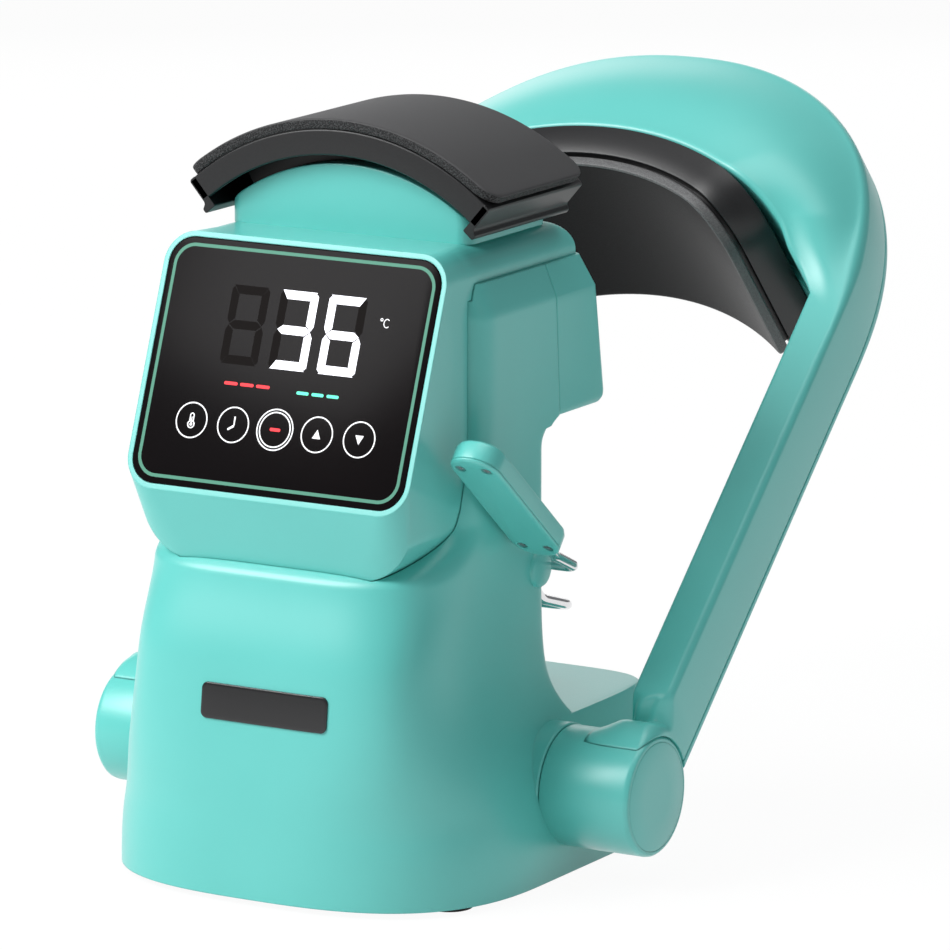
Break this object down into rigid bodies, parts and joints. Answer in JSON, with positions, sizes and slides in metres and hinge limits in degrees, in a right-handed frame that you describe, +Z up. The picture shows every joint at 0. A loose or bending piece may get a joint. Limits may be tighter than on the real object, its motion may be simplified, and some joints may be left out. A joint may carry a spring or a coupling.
{
  "type": "cap heat press",
  "caption": "Desktop cap heat press: padded curved head form on a housing with a touch display, and a curved heated platen on a tilting arm with a cap-holding bail.",
  "frame": {"origin": "on the table plane under the middle of the base, feet on z = 0", "axes": "+Z up, the display faces -Y, the arm's pivot axis lies along X, +X is the lever's side"},
  "size_m": [0.292, 0.4367, 0.353],
  "materials": {
    "teal_plastic": "gloss moulded",
    "black_plastic": "satin moulded",
    "rocker_plastic": "satin",
    "badge": "gloss",
    "display_glass": "gloss, opaque black",
    "foam": "matt foam",
    "foot_rubber": "matt",
    "steel": "plain",
    "chrome_wire": "polished",
    "bush_brass": "plain",
    "board": "solder mask",
    "winding": "tape",
    "display_white": "plain",
    "coated_plate": "dark non-stick coat",
    "clamp_plate": "plain",
    "film": "polyimide film",
    "felt": "felt"
  },
  "bodies": {
    "base": {"main_shell": "teal_plastic", "rear_housing": "teal_plastic", "bottom_plate": "black_plastic", "rubber_feet": "foot_rubber", "base_screws": "steel", "base_frame": "steel", "pivot_bushes": "bush_brass", "power_board": "board", "transformer": "winding", "power_inlet": "black_plastic", "rocker_switch": "black_plastic", "badge_plate": "badge", "control_head": "teal_plastic", "display_panel": "display_glass", "display_module": "display_white", "touch_springs": "steel", "control_board": "board", "buzzer": "black_plastic", "pad_pedestal": "teal_plastic", "pad_tray": "black_plastic", "foam_pad": "foam", "tray_screws": "steel", "bail_brackets": "teal_plastic", "bracket_screws": "steel"},
    "arm": {"arm_front_shell": "teal_plastic", "arm_hubs": "teal_plastic", "arm_back_cover": "teal_plastic", "arm_cover_screws": "steel", "hub_covers": "teal_plastic", "pivot_axles": "steel", "friction_washers": "steel", "pivot_nuts": "steel", "platen_housing": "black_plastic", "heating_plate": "coated_plate", "heater_film": "film", "heater_clamp": "clamp_plate", "platen_insulation": "felt", "thermal_cutoff": "steel", "platen_screws": "steel"},
    "hat_lever": {"lever_upper_half": "teal_plastic", "lever_lower_half": "teal_plastic", "lever_screws": "steel", "bail_wire": "chrome_wire"},
    "switch_rocker": {"power_rocker": "rocker_plastic"}
  },
  "joints": [
    {"name": "arm_hinge", "type": "hinge", "parent": "base", "child": "arm", "pos_m": [0, 0.0046, 0.0436], "axis": [1, 0, 0], "range_deg": [0, 47]},
    {"name": "lever_hinge", "type": "hinge", "parent": "base", "child": "hat_lever", "pos_m": [0, 0.0205, 0.143], "axis": [1, 0, 0], "range_deg": [-20, 55]},
    {"name": "rocker_tilt", "type": "hinge", "parent": "base", "child": "switch_rocker", "pos_m": [0.034, 0.115, 0.036], "axis": [1, 0, 0], "range_deg": [0, 14]}
  ]
}
